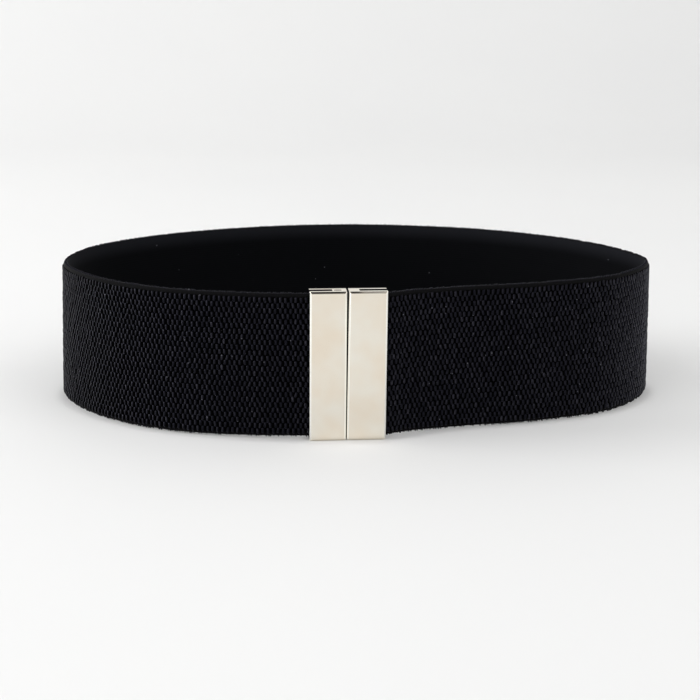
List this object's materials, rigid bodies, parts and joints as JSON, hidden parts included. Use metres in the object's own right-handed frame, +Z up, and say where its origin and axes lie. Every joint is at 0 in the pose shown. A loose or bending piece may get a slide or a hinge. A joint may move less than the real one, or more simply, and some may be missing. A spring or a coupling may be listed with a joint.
{
  "type": "elastic stretch belt",
  "caption": "Wide elastic stretch belt in a closed oval loop, standing on its edge and fastened at the front by a two-part flat metal interlocking clasp.",
  "frame": {"origin": "middle of the belt's footprint, at the height of the surface that it stands on", "axes": "+X along the loop's longest extent, to the wearer's left of the clasp; -Y is the way the clasp faces; +Z up, across the band's width"},
  "size_m": [0.2602, 0.1578, 0.0615],
  "materials": {
    "elastic": "matte black ribbed elastic weave",
    "pale_gold": "polished pale champagne gold plate"
  },
  "bodies": {
    "root": {"elastic_band": "elastic", "clasp_left": "pale_gold", "clasp_right": "pale_gold"}
  },
  "joints": []
}
